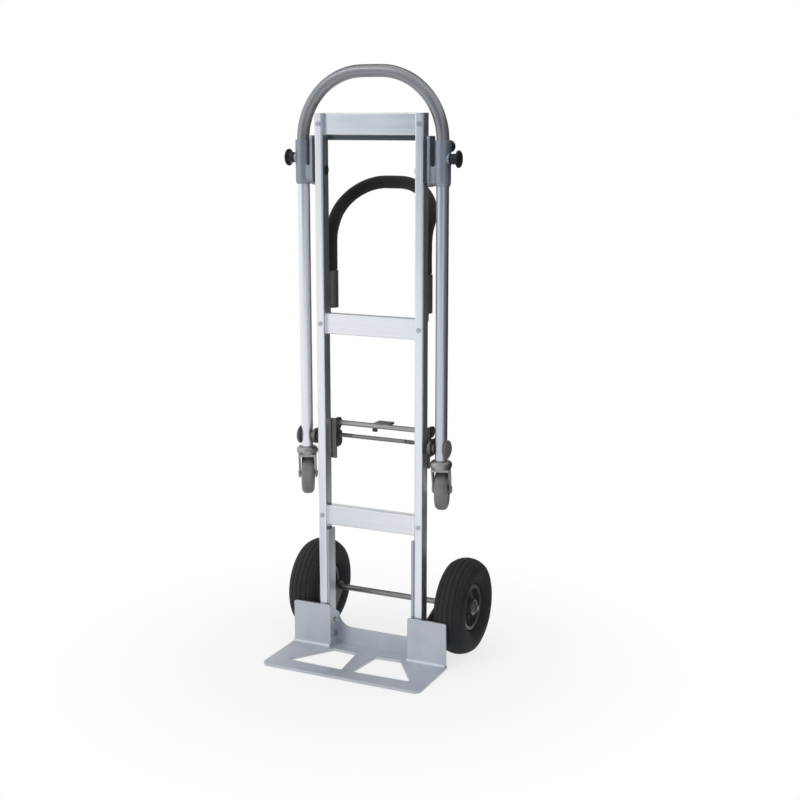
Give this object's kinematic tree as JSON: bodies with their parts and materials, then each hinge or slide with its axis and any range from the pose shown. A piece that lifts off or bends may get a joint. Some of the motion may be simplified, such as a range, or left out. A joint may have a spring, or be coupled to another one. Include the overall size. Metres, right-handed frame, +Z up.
{
  "type": "folding hand truck",
  "caption": "Convertible aluminium hand truck with a loop handle on folding caster legs, a foam rear grip, a cast toe plate and pneumatic wheels",
  "frame": {"origin": "on the floor, on the toe plate's underside, midway between the rails at their front faces", "axes": "+X across the truck to its right seen from the toe side, +Y towards the user behind it, +Z up along the rails"},
  "size_m": [0.522, 0.446, 1.552],
  "materials": {
    "extruded_aluminium": "mill finish extrusion",
    "tube_aluminium": "drawn tube, satin",
    "cast_aluminium": "cast, painted grey-blue",
    "grey_paint": "grey powder coat",
    "black_paint": "black powder coat",
    "steel": "plated",
    "zinc_plate": "zinc plated",
    "rim_paint": "dark grey enamel",
    "tyre_rubber": "matte",
    "foam": "matte closed-cell foam",
    "black_plastic": "moulded",
    "nylon": "moulded",
    "caster_core": "moulded",
    "caster_rubber": "grey, non-marking"
  },
  "bodies": {
    "frame": {"left_rail": "extruded_aluminium", "right_rail": "extruded_aluminium", "top_cross_brace": "extruded_aluminium", "middle_cross_brace": "extruded_aluminium", "lower_cross_brace": "extruded_aluminium", "brace_rivets": "steel", "rail_doublers": "extruded_aluminium", "toe_plate": "cast_aluminium", "rail_foot_bolts": "steel", "left_axle_bracket": "black_paint", "right_axle_bracket": "black_paint", "axle": "steel", "axle_washers": "steel", "axle_cotter_pins": "steel", "pivot_plates": "steel", "pivot_pins": "steel", "rear_handle_tube": "steel", "rear_handle_grip": "foam", "left_handle_socket": "grey_paint", "right_handle_socket": "grey_paint", "handle_socket_bolts": "steel", "left_latch_bracket": "zinc_plate", "right_latch_bracket": "zinc_plate", "latch_bracket_bolts": "steel", "left_latch_spring": "steel", "right_latch_spring": "steel"},
    "left_wheel": {"left_tyre": "tyre_rubber", "left_wheel_rim": "rim_paint", "left_wheel_bearings": "steel"},
    "right_wheel": {"right_tyre": "tyre_rubber", "right_wheel_rim": "rim_paint", "right_wheel_bearings": "steel"},
    "handle_pivots": {"left_pivot_casting": "grey_paint", "right_pivot_casting": "grey_paint", "sleeve_bushes": "nylon", "plunger_barrels": "black_plastic", "plunger_springs": "steel"},
    "handle_frame": {"loop_handle": "grey_paint", "left_leg_tube": "tube_aluminium", "right_leg_tube": "tube_aluminium", "leg_spigots": "steel", "leg_lugs": "zinc_plate", "leg_studs": "steel", "caster_heads": "zinc_plate"},
    "left_side_lock": {"left_side_plunger": "black_plastic"},
    "right_side_lock": {"right_side_plunger": "black_plastic"},
    "left_rear_lock": {"left_rear_plunger": "black_plastic"},
    "right_rear_lock": {"right_rear_plunger": "black_plastic"},
    "left_caster": {"left_caster_fork": "zinc_plate", "left_caster_axle": "steel"},
    "right_caster": {"right_caster_fork": "zinc_plate", "right_caster_axle": "steel"},
    "left_caster_wheel": {"left_caster_core": "caster_core", "left_caster_tyre": "caster_rubber"},
    "right_caster_wheel": {"right_caster_core": "caster_core", "right_caster_tyre": "caster_rubber"},
    "latch": {"latch_shaft": "steel", "latch_pedal": "black_paint"},
    "left_latch_bolt": {"left_latch_pin": "steel"},
    "right_latch_bolt": {"right_latch_pin": "steel"}
  },
  "joints": [
    {"name": "left_wheel_spin", "type": "hinge", "parent": "frame", "child": "left_wheel", "pos_m": [-0.2185, 0.128, 0.13], "axis": [1, 0, 0], "continuous": true},
    {"name": "right_wheel_spin", "type": "hinge", "parent": "frame", "child": "right_wheel", "pos_m": [0.2185, 0.128, 0.13], "axis": [1, 0, 0], "continuous": true},
    {"name": "handle_fold", "type": "hinge", "parent": "frame", "child": "handle_pivots", "pos_m": [0, 0.018, 1.29], "axis": [1, 0, 0], "range_deg": [0, 90]},
    {"name": "handle_slide", "type": "slide", "parent": "handle_pivots", "child": "handle_frame", "axis": [0, 0, 1], "range_m": [0, 0.634]},
    {"name": "left_side_lock_push", "type": "slide", "parent": "handle_pivots", "child": "left_side_lock", "axis": [-1, 0, 0], "range_m": [-0.006, 0]},
    {"name": "right_side_lock_push", "type": "slide", "parent": "handle_pivots", "child": "right_side_lock", "axis": [1, 0, 0], "range_m": [-0.006, 0]},
    {"name": "left_rear_lock_push", "type": "slide", "parent": "handle_pivots", "child": "left_rear_lock", "axis": [0, 1, 0], "range_m": [-0.006, 0]},
    {"name": "right_rear_lock_push", "type": "slide", "parent": "handle_pivots", "child": "right_rear_lock", "axis": [0, 1, 0], "range_m": [-0.006, 0]},
    {"name": "left_caster_swivel", "type": "hinge", "parent": "handle_frame", "child": "left_caster", "pos_m": [-0.196, 0.022, 0.532], "axis": [0, 0, 1], "range_deg": [-57, 177]},
    {"name": "right_caster_swivel", "type": "hinge", "parent": "handle_frame", "child": "right_caster", "pos_m": [0.196, 0.022, 0.532], "axis": [0, 0, 1], "range_deg": [-221, 13]},
    {"name": "left_caster_roll", "type": "hinge", "parent": "left_caster", "child": "left_caster_wheel", "pos_m": [-0.20962, 0.04873, 0.4715], "axis": [0.891, 0.454, 0], "continuous": true},
    {"name": "right_caster_roll", "type": "hinge", "parent": "right_caster", "child": "right_caster_wheel", "pos_m": [0.18723, 0.05069, 0.4715], "axis": [0.9563, 0.2924, 0], "continuous": true},
    {"name": "latch_press", "type": "hinge", "parent": "frame", "child": "latch", "pos_m": [0, 0.058, 0.62], "axis": [1, 0, 0], "range_deg": [-40, 0], "stiffness_Nm_per_rad": 0.6, "springref_deg": 16.04},
    {"name": "left_latch_throw", "type": "slide", "parent": "frame", "child": "left_latch_bolt", "axis": [-1, 0, 0], "range_m": [0, 0.01], "deforming": ["left_latch_spring"]},
    {"name": "right_latch_throw", "type": "slide", "parent": "frame", "child": "right_latch_bolt", "axis": [1, 0, 0], "range_m": [0, 0.01], "deforming": ["right_latch_spring"]}
  ],
  "couplings": [
    {"joint": "left_latch_throw", "follows": "latch_press", "m_per_rad": -0.0143},
    {"joint": "right_latch_throw", "follows": "latch_press", "m_per_rad": -0.0143}
  ]
}
